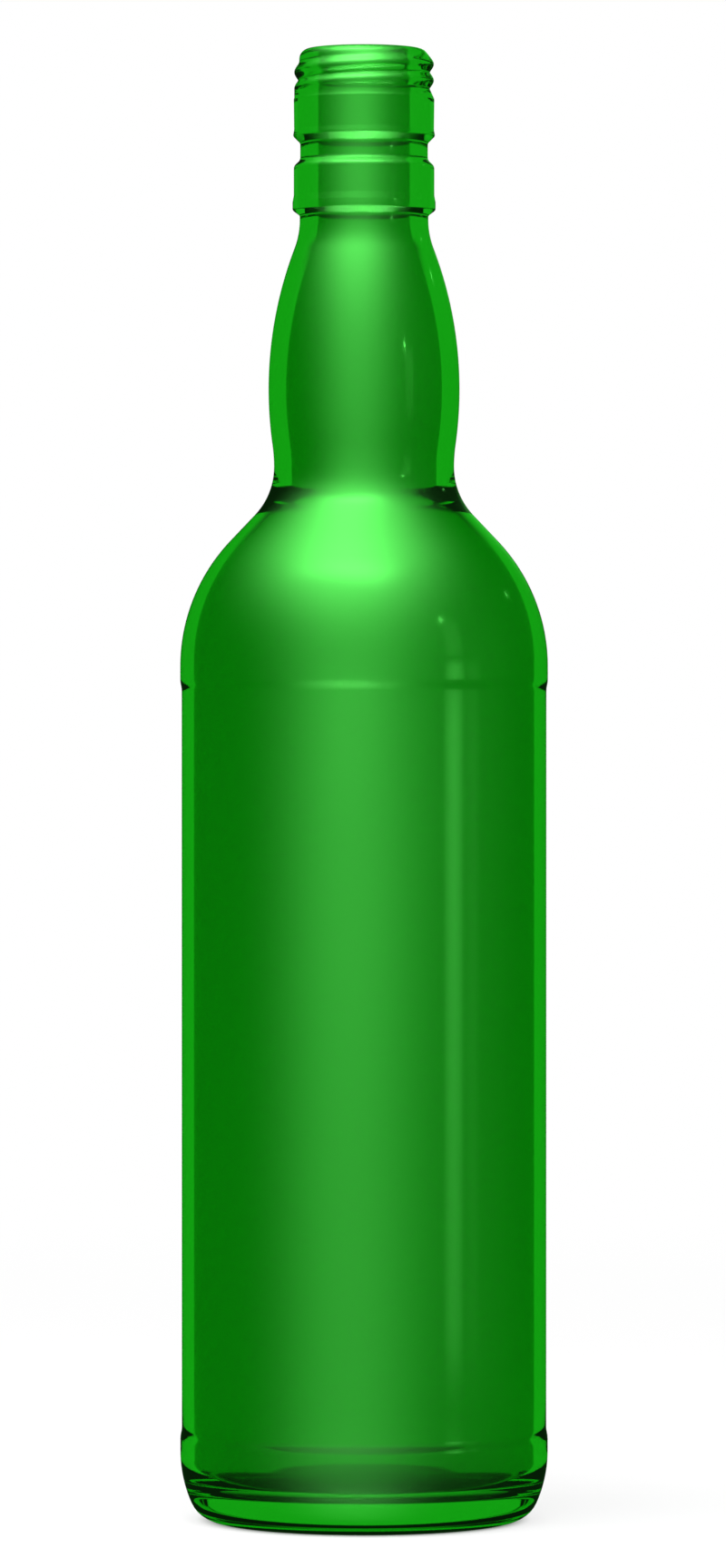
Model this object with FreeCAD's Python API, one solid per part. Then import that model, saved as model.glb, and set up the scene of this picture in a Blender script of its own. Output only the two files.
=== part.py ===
import FreeCAD, Part
import math
import os

# An empty 70 cl spirit bottle, moulded in one piece of glass: a round body with a recessed
# label panel between two raised bands, a full round shoulder, a swollen neck and a screw
# finish with two collars. It stands open on its base.
#
# Millimetres. The origin is the centre of the ring that the bottle stands on and +Z is up.
# All that lies above the label panel hangs from the rim and all that lies below it stands
# on the base, so the panel takes up any change of height. The radii of the finish and of
# the top of the neck are counted outwards from the bore.

# Overall
BOTTLE_HEIGHT = 294.0
BODY_DIAMETER = 73.6
BORE_DIAMETER = 18.3

# Walls
BODY_WALL = 2.4
SHOULDER_WALL = 2.0
NECK_WALL = 3.5
NECK_TOP_WALL = 3.7
LIP_WALL = 3.8
BASE_THICKNESS = 6.2

# Base, from the standing ring up
STANDING_RING_WIDTH = 2.4
PUSH_UP = 4.2
PUSH_UP_ROUNDING = 1.2
HEEL_LOWER_BEND = 5.9
HEEL_UPPER_BEND = 25.2
HEEL_HEIGHT = 13.8
INNER_HEEL_BEND = 5.5

# Label panel and the bands that guard it
LABEL_RECESS = 0.3
BAND_EDGE_BEND = 1.6
HEEL_BAND_WIDTH = 3.0
SHOULDER_BAND_WIDTH = 3.1

# Shoulder and neck, as bends in the upright section
SHOULDER_BEND = 36.4
SHOULDER_SLOPE_LENGTH = 7.1
SHOULDER_FOOT_BEND = 14.0
INNER_SHOULDER_FOOT_BEND = 2.0
WAIST_DIAMETER = 36.0
WAIST_BEND = 30.9
BULGE_DIAMETER = 38.2
BULGE_BEND = 78.8
NECK_TOP_BEND = 16.3
NECK_TOP_STRAIGHT = 0.75

# Finish, from the rim down
RIM_OUTER_ROUNDING = 2.0
RIM_INNER_ROUNDING = 0.9
THREAD_ZONE = 7.8
COLLAR_DEPTH = 1.1
COLLAR_TOP_SLOPE = 2.2
COLLAR_STRAIGHT = 7.4
GROOVE_DEPTH = 1.3
GROOVE_SLOPE = 1.45
GROOVE_WIDTH = 3.25
LOWER_COLLAR_STRAIGHT = 4.0
FLARE_DEPTH = 0.25
FLARE_LENGTH = 2.75
LOWER_COLLAR_EDGE = 1.9
LOWER_COLLAR_UNDERCUT = 1.1
COLLAR_ROUNDING = 0.9
EDGE_ROUNDING = 0.6

# Thread
THREAD_DEPTH = 1.0
THREAD_WIDTH = 3.0
THREAD_PITCH = 3.25
THREAD_TURNS = 1.9
THREAD_START_BELOW_RIM = 2.5
THREAD_START_ANGLE = 60.0
THREAD_FADE_ANGLE = 45.0
THREAD_EMBED = 0.4
THREAD_SECTIONS_PER_TURN = 16

# Radii that follow from these
BORE_RADIUS = BORE_DIAMETER / 2
LIP_RADIUS = BORE_RADIUS + LIP_WALL
RIM_RADIUS = (BORE_RADIUS + RIM_INNER_ROUNDING + LIP_RADIUS - RIM_OUTER_ROUNDING) / 2
COLLAR_RADIUS = LIP_RADIUS + COLLAR_DEPTH
NECK_TOP_RADIUS = BORE_RADIUS + NECK_TOP_WALL
BULGE_RADIUS = BULGE_DIAMETER / 2
WAIST_RADIUS = WAIST_DIAMETER / 2
BODY_RADIUS = BODY_DIAMETER / 2
PANEL_RADIUS = BODY_RADIUS - LABEL_RECESS
INNER_RADIUS = PANEL_RADIUS - BODY_WALL

FULL_TURN = 360.0
SHORTEST_LINE = 1e-6


def point(radius, height, angle=0.0):
    """The point at that distance from the axis, that height and that angle round it in degrees."""
    turn = math.radians(angle)
    return FreeCAD.Vector(radius * math.cos(turn), radius * math.sin(turn), height)


def lean_of(radius_change, bends, slope_length=0.0):
    """How far a wall leans, in radians, between two bends whose radii add up to bends."""
    reach = math.hypot(bends, slope_length)
    return math.acos((bends - abs(radius_change)) / reach) - math.atan2(slope_length, bends)


def ogee_height(radius_change, bends, lean):
    """How tall two bends are, together with the slope of that lean between them."""
    slope_length = (abs(radius_change) - bends * (1.0 - math.cos(lean))) / math.sin(lean)
    return bends * math.sin(lean) + slope_length * math.cos(lean)


def shoulder_lean():
    """The lean of the shoulder's slope, inside as well as outside."""
    bends = SHOULDER_FOOT_BEND + SHOULDER_BEND
    return lean_of(BODY_RADIUS - WAIST_RADIUS, bends, SHOULDER_SLOPE_LENGTH)


class Outline:
    """Lines and arcs in the upright half-plane, each drawn from the end of the last one."""

    def __init__(self, radius, height):
        self.radius = radius
        self.height = height
        self.edges = []

    def line(self, radius, height):
        """A straight line to that place, left out where the outline is there already."""
        start = point(self.radius, self.height)
        end = point(radius, height)
        if start.distanceToPoint(end) > SHORTEST_LINE:
            self.edges.append(Part.LineSegment(start, end).toShape())
            self.radius, self.height = radius, height

    def drop(self, height):
        """A straight wall down to that height."""
        self.line(self.radius, height)

    def arc(self, centre, bend, start_angle, end_angle):
        """An arc about centre, between two angles in radians counted from the outward direction."""
        stops = [start_angle, (start_angle + end_angle) / 2, end_angle]
        places = [(centre[0] + bend * math.cos(a), centre[1] + bend * math.sin(a)) for a in stops]
        self.line(*places[0])
        self.edges.append(Part.Arc(*[point(*place) for place in places]).toShape())
        self.radius, self.height = places[-1]

    def ogee(self, radius, first_bend, second_bend, lean=None):
        """Two bends that carry an upright wall down to another radius, and any slope between."""
        change = radius - self.radius
        bends = first_bend + second_bend
        if lean is None:
            lean = lean_of(change, bends)
        bottom = self.height - ogee_height(change, bends, lean)
        if change > 0:
            first_centre = (self.radius + first_bend, self.height)
            self.arc(first_centre, first_bend, math.pi, math.pi + lean)
            self.arc((radius - second_bend, bottom), second_bend, lean, 0.0)
        else:
            first_centre = (self.radius - first_bend, self.height)
            self.arc(first_centre, first_bend, 0.0, -lean)
            self.arc((radius + second_bend, bottom), second_bend, math.pi - lean, math.pi)

    def corners(self, *places):
        """Lines through (radius, height, rounding) corners, each rounded by a tangent arc."""
        for here, after in zip(places, places[1:]):
            corner = FreeCAD.Vector(here[0], here[1], 0)
            back = (FreeCAD.Vector(self.radius, self.height, 0) - corner).normalize()
            onward = (FreeCAD.Vector(after[0], after[1], 0) - corner).normalize()
            half = back.getAngle(onward) / 2
            reach = here[2] / math.tan(half)
            depth = here[2] / math.sin(half) - here[2]
            start = corner + back * reach
            middle = corner + (back + onward).normalize() * depth
            end = corner + onward * reach
            self.line(start.x, start.y)
            arc = Part.Arc(*[point(p.x, p.y) for p in (start, middle, end)])
            self.edges.append(arc.toShape())
            self.radius, self.height = end.x, end.y
        self.line(*places[-1])

    def dome(self, rise, bend):
        """From the bottom of a bend, up that bend and over a tangent dome to the axis."""
        foot_radius, foot_height = self.radius, self.height
        dome_radius = (foot_radius**2 + rise**2 - 2 * bend * rise) / (2 * rise)
        dome_centre = (0.0, foot_height + rise - dome_radius)
        lean = math.asin(foot_radius / (dome_radius + bend))
        self.arc((foot_radius, foot_height + bend), bend, -math.pi / 2, -math.pi / 2 - lean)
        self.arc(dome_centre, dome_radius, math.pi / 2 - lean, math.pi / 2)


def draw_finish(outline):
    """The threaded mouth, two collars and the groove between them, from the rim to the neck."""
    groove_radius = COLLAR_RADIUS - GROOVE_DEPTH
    flare_radius = COLLAR_RADIUS + FLARE_DEPTH
    thread_foot = BOTTLE_HEIGHT - THREAD_ZONE
    collar_top = thread_foot - COLLAR_TOP_SLOPE
    collar_foot = collar_top - COLLAR_STRAIGHT
    groove_top = collar_foot - GROOVE_SLOPE
    groove_foot = groove_top - GROOVE_WIDTH
    lower_top = groove_foot - GROOVE_SLOPE
    flare_top = lower_top - LOWER_COLLAR_STRAIGHT
    flare_foot = flare_top - FLARE_LENGTH
    lower_foot = flare_foot - LOWER_COLLAR_EDGE
    neck_top = lower_foot - LOWER_COLLAR_UNDERCUT
    outline.corners(
        (LIP_RADIUS, BOTTLE_HEIGHT, RIM_OUTER_ROUNDING),
        (LIP_RADIUS, thread_foot, COLLAR_ROUNDING),
        (COLLAR_RADIUS, collar_top, COLLAR_ROUNDING),
        (COLLAR_RADIUS, collar_foot, COLLAR_ROUNDING),
        (groove_radius, groove_top, COLLAR_ROUNDING),
        (groove_radius, groove_foot, COLLAR_ROUNDING),
        (COLLAR_RADIUS, lower_top, COLLAR_ROUNDING),
        (COLLAR_RADIUS, flare_top, COLLAR_ROUNDING),
        (flare_radius, flare_foot, COLLAR_ROUNDING),
        (flare_radius, lower_foot, EDGE_ROUNDING),
        (NECK_TOP_RADIUS, neck_top, EDGE_ROUNDING),
        (NECK_TOP_RADIUS, neck_top - NECK_TOP_STRAIGHT),
    )


def draw_heel(outline):
    """Two tangent arcs from the lower band round to the standing ring."""
    reach = HEEL_UPPER_BEND - HEEL_LOWER_BEND
    lean = math.asin((HEEL_HEIGHT - HEEL_LOWER_BEND) / reach)
    upper_centre = (BODY_RADIUS - HEEL_UPPER_BEND, HEEL_HEIGHT)
    lower_centre = (upper_centre[0] + reach * math.cos(lean), HEEL_LOWER_BEND)
    outline.arc(upper_centre, HEEL_UPPER_BEND, 0.0, -lean)
    outline.arc(lower_centre, HEEL_LOWER_BEND, -lean, -math.pi / 2)


def draw_outside():
    """The outer outline, from the rim to the middle of the underside, and two of its heights."""
    outline = Outline(RIM_RADIUS, BOTTLE_HEIGHT)
    draw_finish(outline)
    outline.ogee(BULGE_RADIUS, NECK_TOP_BEND, BULGE_BEND)
    bulge_height = outline.height
    outline.ogee(WAIST_RADIUS, BULGE_BEND, WAIST_BEND)
    outline.ogee(BODY_RADIUS, SHOULDER_FOOT_BEND, SHOULDER_BEND, shoulder_lean())
    shoulder_height = outline.height
    outline.drop(shoulder_height - SHOULDER_BAND_WIDTH)
    outline.ogee(PANEL_RADIUS, BAND_EDGE_BEND, BAND_EDGE_BEND)
    edge_lean = lean_of(LABEL_RECESS, 2 * BAND_EDGE_BEND)
    edge_height = ogee_height(LABEL_RECESS, 2 * BAND_EDGE_BEND, edge_lean)
    outline.drop(HEEL_HEIGHT + HEEL_BAND_WIDTH + edge_height)
    outline.ogee(BODY_RADIUS, BAND_EDGE_BEND, BAND_EDGE_BEND)
    outline.drop(HEEL_HEIGHT)
    draw_heel(outline)
    outline.line(outline.radius - STANDING_RING_WIDTH, 0.0)
    outline.dome(PUSH_UP, PUSH_UP_ROUNDING)
    return outline, bulge_height, shoulder_height


def draw_inside(bulge_height, shoulder_height):
    """The inner outline, from the rim down the bore to the middle of the floor."""
    inner_bulge = BULGE_RADIUS - NECK_WALL
    inner_waist = WAIST_RADIUS - NECK_WALL
    neck_bends = NECK_TOP_BEND + BULGE_BEND
    neck_lean = lean_of(inner_bulge - BORE_RADIUS, neck_bends)
    bore_foot = bulge_height + ogee_height(inner_bulge - BORE_RADIUS, neck_bends, neck_lean)

    lean = shoulder_lean()
    shoulder_bend = SHOULDER_BEND - SHOULDER_WALL
    bends = INNER_SHOULDER_FOOT_BEND + shoulder_bend
    shoulder_lift = (BODY_RADIUS - INNER_RADIUS - SHOULDER_WALL) / math.tan(lean)
    shoulder_rise = ogee_height(INNER_RADIUS - inner_waist, bends, lean)

    outline = Outline(RIM_RADIUS, BOTTLE_HEIGHT)
    outline.corners((BORE_RADIUS, BOTTLE_HEIGHT, RIM_INNER_ROUNDING), (BORE_RADIUS, bore_foot))
    outline.ogee(inner_bulge, NECK_TOP_BEND + NECK_WALL, BULGE_BEND - NECK_WALL)
    outline.ogee(inner_waist, BULGE_BEND - NECK_WALL, WAIST_BEND + NECK_WALL)
    outline.drop(shoulder_height + shoulder_lift + shoulder_rise)
    outline.ogee(INNER_RADIUS, INNER_SHOULDER_FOOT_BEND, shoulder_bend, lean)
    corner = (INNER_RADIUS - INNER_HEEL_BEND, BASE_THICKNESS + INNER_HEEL_BEND)
    outline.arc(corner, INNER_HEEL_BEND, 0.0, -math.pi / 2)
    outline.dome(PUSH_UP, INNER_HEEL_BEND)
    return outline


def spun(edges):
    """The solid that a closed outline sweeps in a full turn about the axis."""
    wire = Part.Wire(Part.__sortEdges__(edges))
    return Part.Face(wire).revolve(FreeCAD.Vector(0, 0, 0), FreeCAD.Vector(0, 0, 1), FULL_TURN)


def axis_line(low, high):
    """A line on the axis between two heights."""
    return Part.LineSegment(point(0, low), point(0, high)).toShape()


def ridge_section(angle, height, share):
    """A rounded ridge across the thread, of full depth where share is 1 and sunk in at 0."""
    foot = LIP_RADIUS - THREAD_EMBED
    crest = foot + THREAD_EMBED / 2 + (THREAD_EMBED / 2 + THREAD_DEPTH) * share
    low = point(foot, height - THREAD_WIDTH / 2, angle)
    top = point(crest, height, angle)
    high = point(foot, height + THREAD_WIDTH / 2, angle)
    return Part.Wire([Part.Arc(low, top, high).toShape(), Part.LineSegment(high, low).toShape()])


def thread():
    """The right-handed screw ridge, in pieces of up to a turn, sinking in at both its ends."""
    sweep = THREAD_TURNS * FULL_TURN
    count = math.ceil(THREAD_TURNS) * THREAD_SECTIONS_PER_TURN
    sections = []
    for i in range(count + 1):
        along = sweep * i / count
        from_end = min(along, sweep - along, THREAD_FADE_ANGLE) / THREAD_FADE_ANGLE
        share = math.sin(from_end * math.pi / 2)
        height = BOTTLE_HEIGHT - THREAD_START_BELOW_RIM - THREAD_PITCH * along / FULL_TURN
        sections.append(ridge_section(THREAD_START_ANGLE - along, height, share))
    starts = range(0, count, THREAD_SECTIONS_PER_TURN)
    pieces = [sections[i:i + THREAD_SECTIONS_PER_TURN + 1] for i in starts]
    return [Part.makeLoft(piece, True, False) for piece in pieces]


def main():
    outside, bulge_height, shoulder_height = draw_outside()
    inside = draw_inside(bulge_height, shoulder_height)
    middle = axis_line(outside.height, inside.height)
    bottle = spun(outside.edges + inside.edges + [middle])
    for ridge in thread():
        bottle = bottle.fuse(ridge)
    bottle = bottle.Solids[0]
    os.makedirs("parts", exist_ok=True)
    bottle.exportStep("parts/bottle.step")

    level = Part.LineSegment(point(0, BOTTLE_HEIGHT), point(RIM_RADIUS, BOTTLE_HEIGHT)).toShape()
    contents = spun(inside.edges + [level, axis_line(inside.height, BOTTLE_HEIGHT)])
    print(f"glass {bottle.Volume / 1000.0:.1f} ml, brimful {contents.Volume / 1000.0:.0f} ml")


main()
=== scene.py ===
import math

import bmesh
import bpy
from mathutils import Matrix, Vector


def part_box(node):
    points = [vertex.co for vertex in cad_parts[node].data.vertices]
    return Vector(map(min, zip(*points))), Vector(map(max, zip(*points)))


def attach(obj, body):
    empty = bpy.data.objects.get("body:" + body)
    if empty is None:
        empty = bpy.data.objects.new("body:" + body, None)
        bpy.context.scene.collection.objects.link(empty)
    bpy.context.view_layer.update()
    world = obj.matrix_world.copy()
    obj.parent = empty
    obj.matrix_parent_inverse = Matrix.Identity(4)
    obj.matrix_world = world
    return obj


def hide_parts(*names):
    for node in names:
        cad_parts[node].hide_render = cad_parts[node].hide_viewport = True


bl_info = {
    "name": "Green Glass Spirit Bottle",
    "version": (1, 0, 0),
    "blender": (4, 5, 0),
    "location": "View3D > Sidebar > Bottle",
    "description": "Models a round green glass bottle with a collared screw finish, and its stage",
    "category": "Add Mesh",
}

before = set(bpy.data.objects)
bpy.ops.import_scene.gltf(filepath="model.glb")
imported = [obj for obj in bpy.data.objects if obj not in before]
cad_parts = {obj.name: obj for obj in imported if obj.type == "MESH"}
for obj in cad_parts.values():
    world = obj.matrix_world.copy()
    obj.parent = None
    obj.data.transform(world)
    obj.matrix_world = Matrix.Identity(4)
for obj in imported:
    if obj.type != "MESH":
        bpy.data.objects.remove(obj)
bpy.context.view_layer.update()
BOX_LOW, BOX_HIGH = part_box("bottle")
MM = 0.001
SPARE = 0.001 * MM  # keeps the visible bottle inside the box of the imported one

# Fineness of the mesh
SPIN_STEPS = 192
LONGEST_STEP = 1.0 * MM
WIDEST_TURN = math.radians(12.0)
WALL_ROWS = 24
SLOPE_ROWS = 10
FLOOR_ROWS = 12
BAND_ROWS = 3
THREAD_ROW = 0.2 * MM
SHORTEST_ROW = 0.0001 * MM
MERGE_DISTANCE = 0.002 * MM

# Outer wall, from the standing ring up
STANDING_RING_OUTSIDE = 29.2 * MM
STANDING_RING_WIDTH = 2.4 * MM
PUSH_UP_ROUNDING = 1.2 * MM
HEEL_LOWER_BEND = 5.9 * MM
HEEL_UPPER_BEND = 25.2 * MM
HEEL_HEIGHT = 13.8 * MM
HEEL_BAND_WIDTH = 2.45 * MM
PANEL_EDGE_BEND = 5.0 * MM
SHOULDER_BAND_WIDTH = 2.55 * MM
SHOULDER_BEND = 36.4 * MM
SHOULDER_SLOPE = 7.1 * MM
SHOULDER_FOOT_BEND = 14.0 * MM
WAIST_RADIUS = 18.0 * MM
WAIST_BEND = 30.9 * MM
BULGE_RADIUS = 19.1 * MM
BULGE_BEND = 78.8 * MM
NECK_TOP_BEND = 16.3 * MM
NECK_TOP_RADIUS = 12.85 * MM
NECK_TOP_BELOW_RIM = 33.3 * MM
NECK_TOP_STRAIGHT = 0.75 * MM

# Screw finish: radius, depth below the rim and rounding of each corner, from the neck up
LIP_RADIUS = 12.95 * MM
COLLAR_CORNERS = (
    (12.85, 33.30, 0.6),
    (14.30, 32.20, 0.6),
    (14.30, 30.60, 0.6),
    (14.05, 29.30, 0.9),
    (14.05, 23.40, 1.3),
    (12.75, 22.20, 1.3),
    (12.75, 18.85, 0.9),
    (14.20, 17.40, 0.6),
    (13.98, 16.20, 0.9),
    (14.05, 10.00, 0.9),
    (12.95, 7.80, 0.9),
)
RIM_OUTER_ROUNDING = 2.0 * MM
RIM_INNER_ROUNDING = 0.9 * MM
THREAD_FOOT_BELOW_RIM = 7.2 * MM
THREAD_START_ANGLE = 60.0
THREAD_FADE_ANGLE = 45.0
THREAD_START_BELOW_RIM = 2.5 * MM

# Inner wall
BORE_RADIUS = 9.15 * MM
BORE_FOOT_LIFT = 0.5 * MM
NECK_WALL = 3.5 * MM
INNER_FOOT_BEND = 2.0 * MM
SHOULDER_WALL = 2.0 * MM
INNER_HEEL_BEND = 5.5 * MM

# Glass
WHITE = (1.0, 1.0, 1.0, 1.0)
GLASS_IOR = 1.45
STREAK_STRETCH = (1.0, 1.0, 0.35)
STREAK_SCALE = 16.0
RIPPLE_SCALE = 30.0
RIPPLE_STRENGTH = 0.005
RIPPLE_DEPTH = 0.4 * MM
INNER_MIRROR = (0.6, 0.92, 0.6, 1.0)
MIRROR_STEEPNESS = 3.0
SHEEN_ROUGHNESS = 0.56
GLOSS_ROUGHNESS = 0.11
# The gloss starts where the wall turns away from the eye, and fades where the wall lies flat
GLOSS_START = 0.03
GLOSS_FULL = 0.12
UPRIGHT_END = 0.45
LYING_START = 0.6
LYING_GLOSS = 0.1
# The inner floor lets through a darker green. Part of it is the deeper colour of thick glass, and part is
# painted shade for the dark oval seen through the base: heights over the table, radius, and blur of the
# tone's edge
DEEP_AND_SHADED_FLOOR = (0.05, 0.2, 0.05, 1.0)
DEEP_AND_SHADED_FLOOR_FOOT = 5.5 * MM
DEEP_AND_SHADED_FLOOR_TOP = 8.7 * MM
DEEP_AND_SHADED_FLOOR_RADIUS = 30.2 * MM
DEEP_AND_SHADED_FLOOR_BLUR = 0.5 * MM

# Background: what mirrors see of it, how it lights plain surfaces, and the white band behind the glass
MIRRORED_LEVEL = 0.05
PLAIN_LEVEL = 0.12
BAND_FULL = 0.26
BAND_END = 0.5
BEYOND_BAND = 0.02

# Floor of the stage: the shadow is kept under the base, and white takes over beside it
STAGE_RADIUS = 12.0
STAGE_SEGMENTS = 96
GRAIN_SCALE = 90.0
PALE_GREY = (0.93, 0.93, 0.93, 1.0)
DULL_GREY = (0.90, 0.90, 0.90, 1.0)
UNDER_BASE = 0.028
BESIDE_BASE = 0.034
WHITE_BESIDE = 0.85
WHITE_START = 0.1
WHITE_FULL = 0.9

# Camera
CAMERA_ASIDE = -0.00021
CAMERA_DIP = 0.546
LENS = 171.66
SENSOR_WIDTH = 36.0

# Lamps
FADING_EDGE = 0.5
MIDDLE = (0.0, 0.0, (BOX_HIGH.z - BOX_LOW.z) / 2)
# Name, place, point it is turned to, width and height, its power and the share of that, spread
SOFT_LAMPS = (
    ("top_light", (-0.14, -0.26, 1.15), (0.0, 0.0, 0.2), (1.4, 0.9), "top_power", 1.0, 180.0),
    ("front_light", (-0.32, -2.1, 0.45), MIDDLE, (1.8, 1.5), "front_power", 1.0, 180.0),
    ("low_light", (-0.02, -0.19, 0.04), (0.0, 0.0, 0.21), (0.26, 0.09), "low_power", 1.0, 50.0),
    ("collar_light", (-0.01, -0.068, 0.08), (0.0, -0.014, 0.266), (0.03, 0.02), "collar_power", 1.0, 20.0),
    ("heel_light", (-0.01, -0.16, 0.004), (0.0, 0.0, 0.003), (0.06, 0.006), "heel_power", 1.0, 8.0),
    ("rear_light", (0.35, 2.3, 0.9), MIDDLE, (1.4, 1.2), "rear_power", 1.0, 180.0),
    ("glint_light", (0.20, -0.17, 0.292), (0.02, -0.03, 0.2), (0.012, 0.012), "glint_power", 1.0, 180.0),
    ("rear_glint_light", (0.74, 0.43, 0.55), (0.02, 0.0, 0.2), (0.03, 0.03), "glint_power", 4.0, 180.0),
)
STRIP_AWAY = 0.233
STRIP_EDGE = 0.1
# Name, angle round from the front, low and high end, width, height aimed at, share of the power, spread
STRIP_LAMPS = (
    ("strip_light", 58.5, 0.004, 0.19, 0.064, 0.095, 1.0, 20.0),
    ("side_strip_light", 72.0, 0.004, 0.19, 0.052, 0.095, 0.15, 20.0),
    ("high_strip_light", 58.5, 0.19, 0.29, 0.056, 0.19, 1.2, 60.0),
)


def widest_radius():
    """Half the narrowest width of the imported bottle, so that nothing stands outside its box."""
    return min(-BOX_LOW.x, BOX_HIGH.x, -BOX_LOW.y, BOX_HIGH.y)


class BottleShape(bpy.types.PropertyGroup):
    """Sizes of the glass that a user would change."""

    height: bpy.props.FloatProperty(
        name="Height", description="Height from the standing ring to the rim",
        default=BOX_HIGH.z - BOX_LOW.z - SPARE, min=0.25, max=0.4, unit="LENGTH")
    body_radius: bpy.props.FloatProperty(
        name="Body radius", description="Radius of the bands above and below the label panel",
        default=widest_radius() - SPARE, min=0.03, max=0.05, unit="LENGTH")
    body_wall: bpy.props.FloatProperty(
        name="Body wall", description="Glass thickness round the body",
        default=2.7 * MM, min=1.5 * MM, max=6.0 * MM, unit="LENGTH")
    base_thickness: bpy.props.FloatProperty(
        name="Base thickness", description="Glass thickness in the floor of the bottle",
        default=6.9 * MM, min=3.0 * MM, max=15.0 * MM, unit="LENGTH")
    push_up: bpy.props.FloatProperty(
        name="Push-up", description="How far the middle of the base is raised",
        default=2.5 * MM, min=1.0 * MM, max=20.0 * MM, unit="LENGTH")
    panel_recess: bpy.props.FloatProperty(
        name="Panel recess", description="Depth of the label panel below its bands",
        default=0.3 * MM, min=0.0, max=1.0 * MM, unit="LENGTH")
    thread_depth: bpy.props.FloatProperty(
        name="Thread depth", description="How far the screw thread stands out from the mouth",
        default=1.0 * MM, min=0.2 * MM, max=1.1 * MM, unit="LENGTH")
    thread_width: bpy.props.FloatProperty(
        name="Thread width", description="Width of the thread's rounded ridge at its foot",
        default=4.6 * MM, min=1.5 * MM, max=6.0 * MM, unit="LENGTH")
    thread_pitch: bpy.props.FloatProperty(
        name="Thread pitch", description="Climb of the thread in one turn",
        default=3.25 * MM, min=2.0 * MM, max=4.0 * MM, unit="LENGTH")
    thread_turns: bpy.props.FloatProperty(
        name="Thread turns", description="Number of turns of the screw thread",
        default=1.9, min=0.5, max=1.9)


class GlassLook(bpy.types.PropertyGroup):
    """Colour and gloss of the glass."""

    green: bpy.props.FloatVectorProperty(
        name="Green", description="Colour that one face of the glass lets through",
        default=(0.10, 0.70, 0.10), min=0.0, max=1.0, subtype="COLOR")
    deep_green: bpy.props.FloatVectorProperty(
        name="Deep green", description="Colour of the darker streaks in the glass",
        default=(0.09, 0.68, 0.09), min=0.0, max=1.0, subtype="COLOR")
    sheen: bpy.props.FloatVectorProperty(
        name="Sheen", description="Colour of the soft light on the face of the glass",
        default=(0.16, 1.0, 0.16), min=0.0, max=1.0, subtype="COLOR")
    sheen_share: bpy.props.FloatProperty(
        name="Sheen share", description="How much of the light that meets the glass comes back softly",
        default=0.2, min=0.0, max=1.0, subtype="FACTOR")
    gloss_share: bpy.props.FloatProperty(
        name="Gloss share", description="How much the face of the glass mirrors where it turns away",
        default=0.06, min=0.0, max=1.0, subtype="FACTOR")


class StageSetup(bpy.types.PropertyGroup):
    """Camera, lamps and floor."""

    camera_distance: bpy.props.FloatProperty(
        name="Camera distance", description="Distance from the camera to the bottle's axis",
        default=1.4951, min=0.5, max=5.0, unit="LENGTH")
    camera_height: bpy.props.FloatProperty(
        name="Camera height", description="Height of the camera over the floor",
        default=0.1614, min=0.05, max=2.0, unit="LENGTH")
    top_power: bpy.props.FloatProperty(
        name="Top power", description="Power of the soft light overhead",
        default=85.0, min=0.0, max=200.0, unit="POWER")
    front_power: bpy.props.FloatProperty(
        name="Front power", description="Power of the wide soft light in front",
        default=79.0, min=0.0, max=400.0, unit="POWER")
    low_power: bpy.props.FloatProperty(
        name="Low power", description="Power of the small light that looks up from the front",
        default=0.03, min=0.0, max=50.0, unit="POWER")
    collar_power: bpy.props.FloatProperty(
        name="Collar power", description="Power of the small light that looks up at the collars",
        default=0.028, min=0.0, max=5.0, unit="POWER")
    heel_power: bpy.props.FloatProperty(
        name="Heel power", description="Power of the small light under the front of the heel",
        default=0.003, min=0.0, max=50.0, unit="POWER")
    strip_power: bpy.props.FloatProperty(
        name="Strip power", description="Power of the narrow upright light at the right",
        default=0.0014, min=0.0, max=50.0, unit="POWER")
    glint_power: bpy.props.FloatProperty(
        name="Glint power", description="Power of the small light that makes the glints",
        default=0.03, min=0.0, max=5.0, unit="POWER")
    rear_power: bpy.props.FloatProperty(
        name="Rear power", description="Power of the soft light behind the bottle",
        default=12.0, min=0.0, max=200.0, unit="POWER")


def bend_lean(bends, shift, slope=0.0):
    """Steepest lean of a double bend that carries the outline sideways by shift."""
    return math.acos((bends - abs(shift)) / math.hypot(bends, slope)) - math.atan2(slope, bends)


def bend_run(bends, shift, slope=0.0):
    """How far such a double bend runs on."""
    lean = bend_lean(bends, shift, slope)
    return bends * math.sin(lean) + slope * math.cos(lean)


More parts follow.
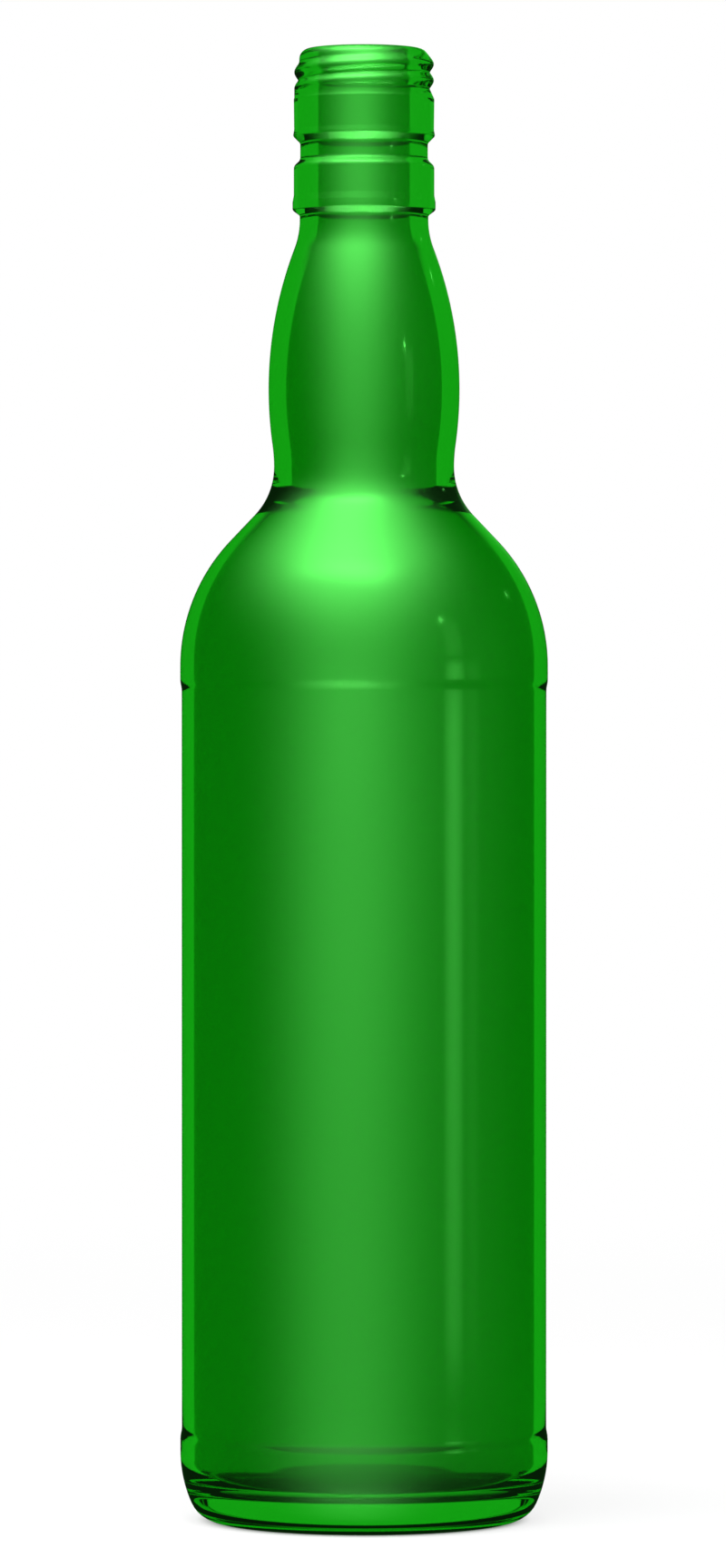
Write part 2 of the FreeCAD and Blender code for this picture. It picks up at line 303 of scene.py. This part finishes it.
class Pen:
    """Draws the outline of the wall, edge by edge, in the plane of X and Z."""

    def __init__(self, mesh, start, heading):
        self.mesh = mesh
        self.tip = mesh.verts.new((start[0], 0.0, start[1]))
        self.heading = heading

    def straight(self, length, parts=1):
        """Goes straight on."""
        ahead = Vector((math.cos(self.heading), 0.0, math.sin(self.heading)))
        for _ in range(parts):
            self.tip = bmesh.ops.extrude_vert_indiv(self.mesh, verts=[self.tip])["verts"][0]
            bmesh.ops.translate(self.mesh, verts=[self.tip], vec=ahead * (length / parts))

    def turn(self, bend, angle):
        """Follows an arc of radius bend, to the left for a positive angle."""
        left = Vector((-math.sin(self.heading), 0.0, math.cos(self.heading)))
        centre = self.tip.co + left * math.copysign(bend, angle)
        size = abs(angle)
        steps = max(math.ceil(bend * size / LONGEST_STEP), math.ceil(size / WIDEST_TURN))
        made = bmesh.ops.spin(
            self.mesh, geom=[self.tip], cent=centre, axis=(0.0, -1.0, 0.0), angle=angle, steps=steps)
        self.tip = next(part for part in made["geom_last"] if isinstance(part, bmesh.types.BMVert))
        self.heading += angle

    def double_bend(self, first, second, shift, slope=0.0):
        """Swings sideways by shift, to the left if positive, and back to its heading."""
        lean = math.copysign(bend_lean(first + second, shift, slope), shift)
        self.turn(first, lean)
        if slope:
            self.straight(slope)
        self.turn(second, -lean)

    def corners(self, points, row=None):
        """Goes through sharp corners (across, up, rounding) and rounds them, in rows of a length if given."""
        place = self.tip.co.copy()
        spent = 0.0
        for (across, up, rounding), after in zip(points, points[1:]):
            corner = Vector((across, 0.0, up))
            onward = Vector((after[0], 0.0, after[1])) - corner
            new_heading = math.atan2(onward.z, onward.x)
            angle = (new_heading - self.heading + math.pi) % math.tau - math.pi
            cut = rounding * math.tan(abs(angle) / 2)
            length = (corner - place).length - spent - cut
            if length > SHORTEST_ROW:
                self.straight(length, max(1, round(length / row)) if row else 1)
            self.turn(rounding, angle)
            place, spent = corner, cut
        end = Vector((points[-1][0], 0.0, points[-1][1]))
        self.straight((end - place).length - spent)


def draw_base(pen, shape):
    """From the middle of the base to the foot of the label panel."""
    reach = STANDING_RING_OUTSIDE - STANDING_RING_WIDTH
    lean = 2 * math.atan(shape.push_up / reach)
    pen.turn(reach / math.sin(lean) - PUSH_UP_ROUNDING, -lean)
    pen.turn(PUSH_UP_ROUNDING, lean)
    rise = math.acos((HEEL_HEIGHT - HEEL_LOWER_BEND) / (HEEL_UPPER_BEND - HEEL_LOWER_BEND))
    heel_reach = HEEL_UPPER_BEND * (1 - math.sin(rise)) + HEEL_LOWER_BEND * math.sin(rise)
    pen.straight(shape.body_radius - heel_reach - reach, BAND_ROWS)
    pen.turn(HEEL_LOWER_BEND, rise)
    pen.turn(HEEL_UPPER_BEND, math.pi / 2 - rise)
    pen.straight(HEEL_BAND_WIDTH, BAND_ROWS)
    pen.double_bend(PANEL_EDGE_BEND, PANEL_EDGE_BEND, shape.panel_recess)


def rise_above_panel(shape):
    """Height from the top of the label panel to the straight part under the collars."""
    return (
        bend_run(2 * PANEL_EDGE_BEND, shape.panel_recess)
        + SHOULDER_BAND_WIDTH
        + bend_run(SHOULDER_BEND + SHOULDER_FOOT_BEND, shape.body_radius - WAIST_RADIUS, SHOULDER_SLOPE)
        + bend_run(WAIST_BEND + BULGE_BEND, BULGE_RADIUS - WAIST_RADIUS)
        + bend_run(BULGE_BEND + NECK_TOP_BEND, BULGE_RADIUS - NECK_TOP_RADIUS)
    )


def draw_body(pen, shape):
    """The label panel, the shoulder and the swollen neck."""
    neck_top = shape.height - NECK_TOP_BELOW_RIM - NECK_TOP_STRAIGHT
    panel = neck_top - rise_above_panel(shape) - pen.tip.co.z
    pen.straight(panel, WALL_ROWS)
    pen.double_bend(PANEL_EDGE_BEND, PANEL_EDGE_BEND, -shape.panel_recess)
    pen.straight(SHOULDER_BAND_WIDTH, BAND_ROWS)
    shoulder_in = shape.body_radius - WAIST_RADIUS
    pen.double_bend(SHOULDER_BEND, SHOULDER_FOOT_BEND, shoulder_in, SHOULDER_SLOPE)
    pen.double_bend(WAIST_BEND, BULGE_BEND, WAIST_RADIUS - BULGE_RADIUS)
    pen.double_bend(BULGE_BEND, NECK_TOP_BEND, BULGE_RADIUS - NECK_TOP_RADIUS)


def draw_finish(pen, shape):
    """The collars, the threaded mouth and the rim, down into the bore."""
    collars = [
        (across * MM, shape.height - below * MM, rounding * MM)
        for across, below, rounding in COLLAR_CORNERS
    ]
    pen.corners(collars + [(LIP_RADIUS, shape.height - THREAD_FOOT_BELOW_RIM, 0.0)])
    bore_foot = shape.height - NECK_TOP_BELOW_RIM - NECK_TOP_STRAIGHT + BORE_FOOT_LIFT
    mouth = (
        (LIP_RADIUS, shape.height, RIM_OUTER_ROUNDING),
        (BORE_RADIUS, shape.height, RIM_INNER_ROUNDING),
        (BORE_RADIUS, bore_foot, 0.0),
    )
    pen.corners(mouth, THREAD_ROW)


def draw_inside(pen, shape):
    """The inner wall, from the foot of the bore to the middle of the floor."""
    inner_bulge = BULGE_RADIUS - NECK_WALL
    inner_waist = WAIST_RADIUS - NECK_WALL
    inner_body = shape.body_radius - shape.body_wall
    pen.double_bend(NECK_TOP_BEND + NECK_WALL, BULGE_BEND - NECK_WALL, inner_bulge - BORE_RADIUS)
    pen.double_bend(BULGE_BEND - NECK_WALL, WAIST_BEND + NECK_WALL, inner_waist - inner_bulge)
    lean = bend_lean(SHOULDER_BEND + SHOULDER_FOOT_BEND, shape.body_radius - WAIST_RADIUS, SHOULDER_SLOPE)
    inner_bend = SHOULDER_BEND - SHOULDER_WALL
    bends = INNER_FOOT_BEND + inner_bend
    slope = (inner_body - inner_waist - bends * (1 - math.cos(lean))) / math.sin(lean)
    band_top = (
        shape.height - NECK_TOP_BELOW_RIM - NECK_TOP_STRAIGHT
        - rise_above_panel(shape)
        + bend_run(2 * PANEL_EDGE_BEND, shape.panel_recess) + SHOULDER_BAND_WIDTH
    )
    lift = (shape.body_wall - SHOULDER_WALL) / math.tan(lean)
    foot = band_top + lift + bends * math.sin(lean) + slope * math.cos(lean)
    pen.straight(pen.tip.co.z - foot, BAND_ROWS)
    pen.turn(INNER_FOOT_BEND, lean)
    pen.straight(slope, SLOPE_ROWS)
    pen.turn(inner_bend, -lean)
    pen.straight(pen.tip.co.z - shape.base_thickness - INNER_HEEL_BEND, WALL_ROWS)
    pen.turn(INNER_HEEL_BEND, -math.pi / 2)
    pen.straight(pen.tip.co.x, FLOOR_ROWS)


def thread_height(angle, shape):
    """How far the thread stands out at an angle along its helix, from 0 at its start."""
    whole = 360.0 * shape.thread_turns
    ends = min(angle, whole - angle) / THREAD_FADE_ANGLE
    return shape.thread_depth * max(0.0, min(1.0, ends))


def raise_thread(mesh, shape):
    """Draws the wall of the mouth out along a right-handed helix, as a rounded ridge."""
    start = shape.height - THREAD_START_BELOW_RIM
    lowest = start - shape.thread_pitch * shape.thread_turns - shape.thread_width / 2
    for vert in mesh.verts:
        across = math.hypot(vert.co.x, vert.co.y)
        if vert.co.z < lowest or across < LIP_RADIUS - RIM_OUTER_ROUNDING:
            continue
        turned = (THREAD_START_ANGLE - math.degrees(math.atan2(vert.co.y, vert.co.x))) % 360.0
        reach = across
        for lap in range(math.ceil(shape.thread_turns)):
            angle = turned + 360.0 * lap
            crest = start - shape.thread_pitch * angle / 360.0
            off = (vert.co.z - crest) / shape.thread_width
            if abs(off) < 0.5:
                ridge = thread_height(angle, shape) * math.cos(math.pi * off) ** 2
                reach = max(reach, min(across, LIP_RADIUS) + ridge)
        vert.co.x *= reach / across
        vert.co.y *= reach / across


def blow_bottle(shape):
    """One closed wall of glass, spun from its outline."""
    mesh = bmesh.new()
    pen = Pen(mesh, (0.0, shape.push_up + SPARE / 2), 0.0)
    draw_base(pen, shape)
    draw_body(pen, shape)
    draw_finish(pen, shape)
    draw_inside(pen, shape)
    bmesh.ops.spin(
        mesh, geom=mesh.verts[:] + mesh.edges[:], cent=(0.0, 0.0, 0.0), axis=(0.0, 0.0, 1.0),
        angle=math.tau, steps=SPIN_STEPS, use_merge=True)
    bmesh.ops.remove_doubles(mesh, verts=mesh.verts[:], dist=MERGE_DISTANCE)
    raise_thread(mesh, shape)
    bmesh.ops.recalc_face_normals(mesh, faces=mesh.faces[:])
    for face in mesh.faces:
        face.smooth = True
    return mesh


def new_piece(name, mesh, material):
    """Puts a finished mesh in the scene, at the origin."""
    data = bpy.data.meshes.new(name)
    mesh.to_mesh(data)
    mesh.free()
    data.materials.append(material)
    piece = bpy.data.objects.new(name, data)
    bpy.context.scene.collection.objects.link(piece)
    return piece


class Shade:
    """A shader value that Python's arithmetic works on."""

    def __init__(self, tree, socket):
        self.tree = tree
        self.socket = socket

    def _maths(self, operation, first, second):
        node = self.tree.nodes.new("ShaderNodeMath")
        node.operation = operation
        for slot, value in zip(node.inputs, (first, second)):
            if isinstance(value, Shade):
                self.tree.links.new(value.socket, slot)
            else:
                slot.default_value = value
        return Shade(self.tree, node.outputs[0])

    def __add__(self, other):
        return self._maths("ADD", self, other)

    def __radd__(self, other):
        return self._maths("ADD", other, self)

    def __sub__(self, other):
        return self._maths("SUBTRACT", self, other)

    def __rsub__(self, other):
        return self._maths("SUBTRACT", other, self)

    def __mul__(self, other):
        return self._maths("MULTIPLY", self, other)

    def __rmul__(self, other):
        return self._maths("MULTIPLY", other, self)


class ShaderTree:
    """Builds the nodes of a material or of the world."""

    def __init__(self, owner):
        owner.use_nodes = True
        self.tree = owner.node_tree
        self.tree.nodes.clear()

    def node(self, kind, settings=None, output=0, **sockets):
        """Adds a node: its settings first, then its sockets, by number (i0) or by name with _ for a space."""
        made = self.tree.nodes.new("ShaderNode" + kind)
        for name, value in (settings or {}).items():
            setattr(made, name, value)
        for name, value in sockets.items():
            by_number = name[0] == "i" and name[1:].isdigit()
            slot = made.inputs[int(name[1:]) if by_number else name.replace("_", " ")]
            if isinstance(value, Shade):
                self.tree.links.new(value.socket, slot)
            else:
                slot.default_value = value
        if not made.outputs:
            return None
        return Shade(self.tree, made.outputs[output])


def rgba(colour):
    """A colour with its alpha."""
    return (*colour, 1.0)


def ramp(shader, value, start, end, low, high):
    """Goes smoothly from low to high as value goes from start to end."""
    return shader.node(
        "MapRange", {"interpolation_type": "SMOOTHSTEP"}, i0=value, i1=start, i2=end, i3=low, i4=high)


def deep_and_shaded_floor_mask(shader, place):
    """1 on the inner floor of the bottle, where the darker green and painted shade go, 0 elsewhere."""
    height = shader.node("SeparateXYZ", output=2, Vector=place)
    flat = shader.node("VectorMath", {"operation": "MULTIPLY"}, i0=place, i1=(1.0, 1.0, 0.0))
    reach = shader.node("VectorMath", {"operation": "LENGTH"}, output=1, i0=flat)
    inner, outer = DEEP_AND_SHADED_FLOOR_RADIUS - DEEP_AND_SHADED_FLOOR_BLUR, DEEP_AND_SHADED_FLOOR_RADIUS + DEEP_AND_SHADED_FLOOR_BLUR
    return (
        ramp(shader, height, DEEP_AND_SHADED_FLOOR_FOOT - DEEP_AND_SHADED_FLOOR_BLUR, DEEP_AND_SHADED_FLOOR_FOOT, 0.0, 1.0)
        * ramp(shader, height, DEEP_AND_SHADED_FLOOR_TOP, DEEP_AND_SHADED_FLOOR_TOP + DEEP_AND_SHADED_FLOOR_BLUR, 1.0, 0.0)
        * ramp(shader, reach, inner, outer, 1.0, 0.0))


def clear_glass(shader, look, bump):
    """Glass that only lets light through, in two greens, with a darker floor that is partly thick glass and
    partly painted shade.
    """
    place = shader.node("TexCoord", output=3)
    tall = shader.node("Mapping", Vector=place, Scale=STREAK_STRETCH)
    streaks = shader.node("TexNoise", Vector=tall, Scale=STREAK_SCALE, Detail=2.0, Roughness=0.5)
    light_tone, deep_tone = (
        shader.node("BsdfRefraction", Color=rgba(tone), Roughness=0.0, IOR=GLASS_IOR, Normal=bump)
        for tone in (look.green, look.deep_green))
    wall = shader.node("MixShader", i0=streaks, i1=light_tone, i2=deep_tone)
    # Darker green on the inner floor: partly thick glass, partly painted shade for the dark oval under the
    # bottle
    floor = shader.node("BsdfRefraction", Color=DEEP_AND_SHADED_FLOOR, Roughness=0.0, IOR=GLASS_IOR)
    return shader.node("MixShader", i0=deep_and_shaded_floor_mask(shader, place), i1=wall, i2=floor)


def green_glass(look):
    """Clear bright green glass, which bends light and mirrors it in its own green."""
    material = bpy.data.materials.new("green_glass")
    shader = ShaderTree(material)
    place = shader.node("TexCoord", output=3)
    tall = shader.node("Mapping", Vector=place, Scale=STREAK_STRETCH)
    ripple = shader.node("TexNoise", Vector=tall, Scale=RIPPLE_SCALE, Detail=1.0, Roughness=0.4)
    bump = shader.node("Bump", Height=ripple, Strength=RIPPLE_STRENGTH, Distance=RIPPLE_DEPTH)
    clear = clear_glass(shader, look, bump)

    inside = shader.node("NewGeometry", output=6)
    outside = 1.0 - inside
    outer_mirror = shader.node(
        "BsdfAnisotropic", Color=rgba(look.sheen), Roughness=GLOSS_ROUGHNESS, Normal=bump)
    inner_mirror = shader.node("BsdfAnisotropic", Color=INNER_MIRROR, Roughness=0.0, Normal=bump)
    mirror = shader.node("MixShader", i0=inside, i1=outer_mirror, i2=inner_mirror)
    fresnel = shader.node("Fresnel", IOR=GLASS_IOR, Normal=bump)
    steep = shader.node("Math", {"operation": "POWER"}, i0=fresnel, i1=MIRROR_STEEPNESS)
    facing = shader.node("LayerWeight", output=1, Blend=0.5, Normal=bump)
    turned = ramp(shader, facing, GLOSS_START, GLOSS_FULL, 0.0, 1.0)
    upward = shader.node("SeparateXYZ", output=2, Vector=shader.node("TexCoord", output=1))
    lying = shader.node("Math", {"operation": "ABSOLUTE"}, i0=upward)
    upright = ramp(shader, lying, UPRIGHT_END, LYING_START, 1.0, LYING_GLOSS)
    share = steep + (1.0 - steep) * outside * turned * upright * look.gloss_share
    glass = shader.node("MixShader", i0=share, i1=clear, i2=mirror)

    soft = shader.node(
        "BsdfAnisotropic", {"distribution": "BECKMANN"}, Color=rgba(look.sheen), Roughness=SHEEN_ROUGHNESS)
    shiny = shader.node("MixShader", i0=outside * look.sheen_share, i1=glass, i2=soft)
    shader.node("OutputMaterial", Surface=shiny)
    return material


def stage_floor():
    """A pale round floor that fades into the white background further away."""
    material = bpy.data.materials.new("pale_floor")
    shader = ShaderTree(material)
    place = shader.node("TexCoord", output=3)
    away = shader.node("VectorMath", {"operation": "LENGTH"}, output=1, i0=place)
    grain = shader.node("TexNoise", Vector=place, Scale=GRAIN_SCALE, Detail=2.0)
    colour = shader.node("Mix", {"data_type": "RGBA"}, output=2, i0=grain, i6=PALE_GREY, i7=DULL_GREY)
    paint = shader.node("BsdfPrincipled", Base_Color=colour, Roughness=0.9, Specular_IOR_Level=0.0)
    glow = shader.node("Emission", Color=WHITE, Strength=1.0)
    beside = ramp(shader, away, UNDER_BASE, BESIDE_BASE, 0.0, WHITE_BESIDE)
    distant = ramp(shader, away, WHITE_START, WHITE_FULL, 0.0, 1.0)
    camera, mirrored, passed = (shader.node("LightPath", output=index) for index in (0, 3, 6))
    clearly = shader.node("Math", {"operation": "MAXIMUM"}, i0=camera, i1=passed)
    white = shader.node("MixShader", i0=clearly * (beside + distant * (1.0 - beside)), i1=paint, i2=glow)
    dim = shader.node("Emission", Color=WHITE, Strength=MIRRORED_LEVEL)
    blend = shader.node("MixShader", i0=mirrored * (1.0 - passed), i1=white, i2=dim)
    shader.node("OutputMaterial", Surface=blend)
    mesh = bmesh.new()
    bmesh.ops.create_circle(
        mesh, cap_ends=True, cap_tris=False, segments=STAGE_SEGMENTS, radius=STAGE_RADIUS)
    floor = new_piece("stage_floor", mesh, material)


def studio_world():
    """A white background, which glass shows as a band of white round the horizon."""
    world = bpy.data.worlds.new("studio")
    bpy.context.scene.world = world
    shader = ShaderTree(world)
    camera, mirrored, passed = (shader.node("LightPath", output=index) for index in (0, 3, 6))
    way = shader.node("TexCoord", output=0)
    height = shader.node("SeparateXYZ", output=2, Vector=way)
    slope = shader.node("Math", {"operation": "ABSOLUTE"}, i0=height)
    band = ramp(shader, slope, BAND_FULL, BAND_END, 1.0, BEYOND_BAND)
    any_glass = shader.node("Math", {"operation": "MAXIMUM"}, i0=mirrored, i1=passed)
    shown = passed * band + mirrored * (1.0 - passed) * MIRRORED_LEVEL
    plain = (1.0 - any_glass) * PLAIN_LEVEL
    strength = camera + (1.0 - camera) * (shown + plain)
    sky = shader.node("Background", Color=WHITE, Strength=strength)
    shader.node("OutputWorld", Surface=sky)


def soft_lamp(name, place, target, size, power, edge, spread):
    """A rectangular lamp turned to a point, whose light fades over a share of its size at each edge."""
    data = bpy.data.lights.new(name, "AREA")
    data.shape = "RECTANGLE"
    data.size, data.size_y = size
    data.energy = power
    data.spread = math.radians(spread)
    shader = ShaderTree(data)
    across = shader.node("NewGeometry", output=5)
    fades = []
    for axis in (0, 1):
        along = shader.node("SeparateXYZ", output=axis, Vector=across)
        to_edge = 0.5 - shader.node("Math", {"operation": "ABSOLUTE"}, i0=along - 0.5)
        fades.append(ramp(shader, to_edge, 0.0, edge, 0.0, 1.0))
    glow = shader.node("Emission", Color=WHITE, Strength=fades[0] * fades[1])
    shader.node("OutputLight", Surface=glow)
    lamp = bpy.data.objects.new(name, data)
    lamp.location = place
    lamp.rotation_euler = (Vector(target) - Vector(place)).to_track_quat("-Z", "Y").to_euler()
    lamp.visible_camera = False
    lamp.visible_transmission = False
    bpy.context.scene.collection.objects.link(lamp)


def strip_lamp(name, around, low, high, width, aim, power, spread, radius):
    """An upright strip that the wall mirrors towards the camera, at an angle round from the front."""
    half = math.radians(around) / 2
    wall = Vector((radius * math.sin(half), -radius * math.cos(half), 0.0))
    place = wall + STRIP_AWAY * Vector((math.sin(2 * half), -math.cos(2 * half), 0.0))
    place.z = (low + high) / 2
    wall.z = aim
    soft_lamp(name, place, wall, (width, high - low), power, STRIP_EDGE, spread)


class BOTTLE_OT_glass(bpy.types.Operator):
    """Make the glass bottle"""

    bl_idname = "bottle.glass"
    bl_label = "Glass bottle"

    def execute(self, context):
        scene = context.scene
        mesh = blow_bottle(scene.bottle_shape)
        piece = new_piece("glass_bottle", mesh, green_glass(scene.bottle_glass))
        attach(piece, "root")
        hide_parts("bottle")
        return {"FINISHED"}


class BOTTLE_OT_stage(bpy.types.Operator):
    """Make the floor, the background, the lamps and the camera"""

    bl_idname = "bottle.stage"
    bl_label = "Stage"

    def execute(self, context):
        scene = context.scene
        stage = scene.bottle_stage
        stage_floor()
        studio_world()
        for name, place, target, size, power, share, spread in SOFT_LAMPS:
            soft_lamp(name, place, target, size, share * getattr(stage, power), FADING_EDGE, spread)
        radius = scene.bottle_shape.body_radius
        for name, around, low, high, width, aim, share, spread in STRIP_LAMPS:
            strip_lamp(name, around, low, high, width, aim, share * stage.strip_power, spread, radius)
        data = bpy.data.cameras.new("camera")
        data.sensor_width = SENSOR_WIDTH
        data.lens = LENS
        data.clip_start = 0.05
        data.clip_end = 60.0
        camera = bpy.data.objects.new("camera", data)
        camera.location = (CAMERA_ASIDE, -stage.camera_distance, stage.camera_height)
        camera.rotation_euler = (math.radians(90.0 - CAMERA_DIP), 0.0, 0.0)
        scene.collection.objects.link(camera)
        scene.camera = camera
        scene.view_settings.view_transform = "Standard"
        return {"FINISHED"}


class BOTTLE_PT_panel(bpy.types.Panel):
    """Lists the pieces and the stage in the sidebar"""

    bl_idname = "BOTTLE_PT_panel"
    bl_label = "Glass bottle"
    bl_space_type = "VIEW_3D"
    bl_region_type = "UI"
    bl_category = "Bottle"

    def draw(self, context):
        layout = self.layout
        for group in (context.scene.bottle_shape, context.scene.bottle_glass, context.scene.bottle_stage):
            for name in group.__annotations__:
                layout.prop(group, name)
        for operator in OPERATORS:
            layout.operator(operator.bl_idname)


GROUPS = (BottleShape, GlassLook, StageSetup)
OPERATORS = (BOTTLE_OT_glass, BOTTLE_OT_stage)


def register():
    for cls in GROUPS + OPERATORS + (BOTTLE_PT_panel,):
        bpy.utils.register_class(cls)
    bpy.types.Scene.bottle_shape = bpy.props.PointerProperty(type=BottleShape)
    bpy.types.Scene.bottle_glass = bpy.props.PointerProperty(type=GlassLook)
    bpy.types.Scene.bottle_stage = bpy.props.PointerProperty(type=StageSetup)


def unregister():
    del bpy.types.Scene.bottle_stage
    del bpy.types.Scene.bottle_glass
    del bpy.types.Scene.bottle_shape
    for cls in reversed(GROUPS + OPERATORS + (BOTTLE_PT_panel,)):
        bpy.utils.unregister_class(cls)


def main():
    """Makes every piece in order."""
    register()
    bpy.ops.bottle.glass()
    bpy.ops.bottle.stage()


if __name__ == "__main__":
    main()
